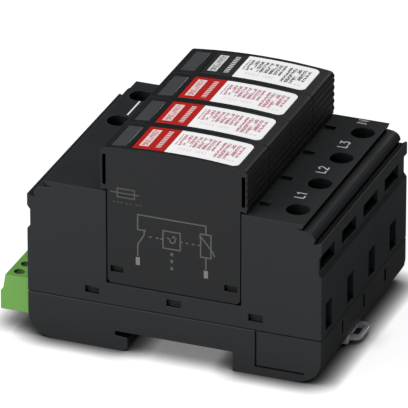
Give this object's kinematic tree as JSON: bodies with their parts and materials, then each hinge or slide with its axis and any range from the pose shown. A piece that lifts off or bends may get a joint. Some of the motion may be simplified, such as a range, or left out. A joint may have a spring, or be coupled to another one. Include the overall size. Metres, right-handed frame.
{
  "type": "din rail surge arrester",
  "caption": "Plug-in surge arrester for a top-hat rail: pull-out protection plugs in a terminal base, with a sprung rail catch and a remote signalling plug.",
  "frame": {"origin": "middle of the rail seat, the face of the foot that bears on the rail's flanges", "axes": "+Z away from the rail towards the plugs' crowned tops, +X across the rail towards the phase terminals and the rail catch, +Y along the rail, away from the face seen in the picture"},
  "size_m": [0.1014, 0.0712, 0.0652],
  "materials": {
    "anthracite plastic": "fine texture",
    "plug plastic": "fine texture",
    "zinc plated steel": "bright zinc",
    "copper": "bare copper",
    "tinned copper": "tinned",
    "spring steel": "drawn wire",
    "green plastic": "satin",
    "black plastic": "satin",
    "varistor coating": "dipped epoxy",
    "ceramic": "glazed",
    "smoke window": "clear",
    "flag green": "plain",
    "red label": "printed film",
    "black label": "printed film"
  },
  "bodies": {
    "base": {"base_housing": "anthracite plastic", "base_foot": "anthracite plastic", "contact_l1": "tinned copper", "contact_l2": "tinned copper", "contact_l3": "tinned copper", "neutral_bus_bar": "tinned copper", "earth_bus_bar": "tinned copper", "remote_switch": "black plastic", "remote_header": "black plastic", "catch_spring": "spring steel"},
    "catch": {"rail_catch": "zinc plated steel"},
    "remote_connector": {"remote_plug": "green plastic", "remote_screw_1": "zinc plated steel", "remote_screw_2": "zinc plated steel", "remote_screw_3": "zinc plated steel"},
    "screw_l1": {"terminal_screw_l1": "zinc plated steel"},
    "cage_l1": {"clamp_cage_l1": "zinc plated steel"},
    "screw_l2": {"terminal_screw_l2": "zinc plated steel"},
    "cage_l2": {"clamp_cage_l2": "zinc plated steel"},
    "screw_l3": {"terminal_screw_l3": "zinc plated steel"},
    "cage_l3": {"clamp_cage_l3": "zinc plated steel"},
    "screw_n": {"terminal_screw_n": "zinc plated steel"},
    "cage_n": {"clamp_cage_n": "zinc plated steel"},
    "screw_pe1": {"terminal_screw_pe1": "zinc plated steel"},
    "cage_pe1": {"clamp_cage_pe1": "zinc plated steel"},
    "screw_pe2": {"terminal_screw_pe2": "zinc plated steel"},
    "cage_pe2": {"clamp_cage_pe2": "zinc plated steel"},
    "plug_1": {"plug_case_1": "plug plastic", "plug_floor_1": "black plastic", "blade_left_1": "copper", "blade_right_1": "copper", "varistor_1": "varistor coating", "status_window_1": "smoke window", "plug_label_1": "red label"},
    "flag_1": {"status_flag_1": "flag green"},
    "plug_2": {"plug_case_2": "plug plastic", "plug_floor_2": "black plastic", "blade_left_2": "copper", "blade_right_2": "copper", "varistor_2": "varistor coating", "status_window_2": "smoke window", "plug_label_2": "red label"},
    "flag_2": {"status_flag_2": "flag green"},
    "plug_3": {"plug_case_3": "plug plastic", "plug_floor_3": "black plastic", "blade_left_3": "copper", "blade_right_3": "copper", "varistor_3": "varistor coating", "status_window_3": "smoke window", "plug_label_3": "red label"},
    "flag_3": {"status_flag_3": "flag green"},
    "plug_4": {"plug_case_4": "plug plastic", "plug_floor_4": "black plastic", "blade_left_4": "copper", "blade_right_4": "copper", "spark_gap_4": "ceramic", "status_window_4": "smoke window", "plug_label_4": "black label"},
    "flag_4": {"status_flag_4": "flag green"}
  },
  "joints": [
    {"name": "screw_turn_l1", "type": "hinge", "parent": "base", "child": "screw_l1", "pos_m": [0.0344, -0.0267, 0.0392], "axis": [0, 0, -1], "range_deg": [0, 3330]},
    {"name": "cage_lift_l1", "type": "slide", "parent": "base", "child": "cage_l1", "axis": [0, 0, 1], "range_m": [0, 0.0074]},
    {"name": "screw_turn_l2", "type": "hinge", "parent": "base", "child": "screw_l2", "pos_m": [0.0344, -0.0089, 0.0392], "axis": [0, 0, -1], "range_deg": [0, 3330]},
    {"name": "cage_lift_l2", "type": "slide", "parent": "base", "child": "cage_l2", "axis": [0, 0, 1], "range_m": [0, 0.0074]},
    {"name": "screw_turn_l3", "type": "hinge", "parent": "base", "child": "screw_l3", "pos_m": [0.0344, 0.0089, 0.0392], "axis": [0, 0, -1], "range_deg": [0, 3330]},
    {"name": "cage_lift_l3", "type": "slide", "parent": "base", "child": "cage_l3", "axis": [0, 0, 1], "range_m": [0, 0.0074]},
    {"name": "screw_turn_n", "type": "hinge", "parent": "base", "child": "screw_n", "pos_m": [0.0344, 0.0267, 0.0392], "axis": [0, 0, -1], "range_deg": [0, 3330]},
    {"name": "cage_lift_n", "type": "slide", "parent": "base", "child": "cage_n", "axis": [0, 0, 1], "range_m": [0, 0.0074]},
    {"name": "screw_turn_pe1", "type": "hinge", "parent": "base", "child": "screw_pe1", "pos_m": [-0.0344, 0.0089, 0.0392], "axis": [0, 0, -1], "range_deg": [0, 3330]},
    {"name": "cage_lift_pe1", "type": "slide", "parent": "base", "child": "cage_pe1", "axis": [0, 0, 1], "range_m": [0, 0.0074]},
    {"name": "screw_turn_pe2", "type": "hinge", "parent": "base", "child": "screw_pe2", "pos_m": [-0.0344, 0.0267, 0.0392], "axis": [0, 0, -1], "range_deg": [0, 3330]},
    {"name": "cage_lift_pe2", "type": "slide", "parent": "base", "child": "cage_pe2", "axis": [0, 0, 1], "range_m": [0, 0.0074]},
    {"name": "plug_pull_1", "type": "slide", "parent": "base", "child": "plug_1", "axis": [0, 0, 1], "range_m": [0, 0.03]},
    {"name": "flag_shift_1", "type": "slide", "parent": "plug_1", "child": "flag_1", "axis": [1, 0, 0], "range_m": [0, 0.0045]},
    {"name": "plug_pull_2", "type": "slide", "parent": "base", "child": "plug_2", "axis": [0, 0, 1], "range_m": [0, 0.03]},
    {"name": "flag_shift_2", "type": "slide", "parent": "plug_2", "child": "flag_2", "axis": [1, 0, 0], "range_m": [0, 0.0045]},
    {"name": "plug_pull_3", "type": "slide", "parent": "base", "child": "plug_3", "axis": [0, 0, 1], "range_m": [0, 0.03]},
    {"name": "flag_shift_3", "type": "slide", "parent": "plug_3", "child": "flag_3", "axis": [1, 0, 0], "range_m": [0, 0.0045]},
    {"name": "plug_pull_4", "type": "slide", "parent": "base", "child": "plug_4", "axis": [0, 0, 1], "range_m": [0, 0.03]},
    {"name": "flag_shift_4", "type": "slide", "parent": "plug_4", "child": "flag_4", "axis": [1, 0, 0], "range_m": [0, 0.0045]},
    {"name": "catch_release", "type": "slide", "parent": "base", "child": "catch", "axis": [1, 0, 0], "range_m": [0, 0.004], "stiffness_N_per_m": 400, "springref_m": -0.003, "deforming": ["catch_spring"]},
    {"name": "remote_unplug", "type": "slide", "parent": "base", "child": "remote_connector", "axis": [-1, 0, 0], "range_m": [0, 0.01]}
  ],
  "couplings": [
    {"joint": "screw_turn_l1", "follows": "cage_lift_l1", "rad_per_m": 7854},
    {"joint": "screw_turn_l2", "follows": "cage_lift_l2", "rad_per_m": 7854},
    {"joint": "screw_turn_l3", "follows": "cage_lift_l3", "rad_per_m": 7854},
    {"joint": "screw_turn_n", "follows": "cage_lift_n", "rad_per_m": 7854},
    {"joint": "screw_turn_pe1", "follows": "cage_lift_pe1", "rad_per_m": 7854},
    {"joint": "screw_turn_pe2", "follows": "cage_lift_pe2", "rad_per_m": 7854}
  ]
}
